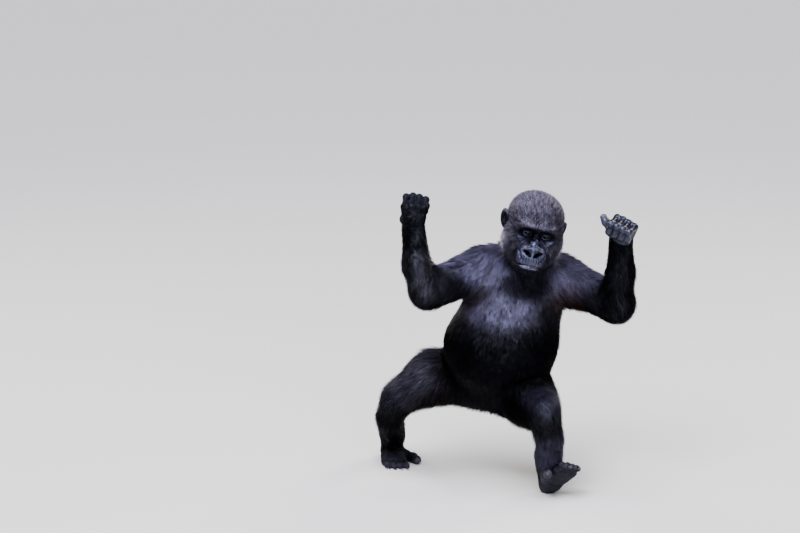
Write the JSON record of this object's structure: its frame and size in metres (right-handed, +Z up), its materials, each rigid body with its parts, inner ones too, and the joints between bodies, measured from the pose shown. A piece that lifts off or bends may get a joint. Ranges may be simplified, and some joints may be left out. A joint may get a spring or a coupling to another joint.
{
  "type": "gorilla",
  "caption": "Still life-size model of a young western lowland gorilla, standing with bent knees and both fists raised beside its head.",
  "frame": {"origin": "on the floor, under the middle of the animal's outline", "axes": "+X to the animal's left, +Y to its back, +Z up"},
  "size_m": [0.6464, 0.47, 0.7682],
  "materials": {
    "coat_black": "short sleek black fur with a blue sheen",
    "coat_grey": "short dull brown-grey fur on crown and cheeks, bare dark face",
    "bare_skin": "bare blue-black skin, satin, creased",
    "eye": "wet dark brown"
  },
  "bodies": {
    "root": {"chest": "coat_black", "belly": "coat_black", "hips": "coat_black", "neck": "coat_black", "head": "coat_grey", "eye_right": "eye", "eye_left": "eye", "ear_right": "bare_skin", "ear_left": "bare_skin", "upper_arm_right": "coat_black", "upper_arm_left": "coat_black", "forearm_right": "coat_black", "forearm_left": "coat_black", "hand_right": "bare_skin", "hand_left": "bare_skin", "finger_index_right": "bare_skin", "finger_index_left": "bare_skin", "finger_middle_right": "bare_skin", "finger_middle_left": "bare_skin", "finger_ring_right": "bare_skin", "finger_ring_left": "bare_skin", "finger_little_right": "bare_skin", "finger_little_left": "bare_skin", "thumb_right": "bare_skin", "thumb_left": "bare_skin", "thigh_right": "coat_black", "thigh_left": "coat_black", "shin_right": "coat_black", "shin_left": "coat_black", "foot_right": "bare_skin", "foot_left": "bare_skin", "toe_second_right": "bare_skin", "toe_second_left": "bare_skin", "toe_third_right": "bare_skin", "toe_third_left": "bare_skin", "toe_fourth_right": "bare_skin", "toe_fourth_left": "bare_skin", "toe_fifth_right": "bare_skin", "toe_fifth_left": "bare_skin", "great_toe_right": "bare_skin", "great_toe_left": "bare_skin"}
  },
  "joints": []
}
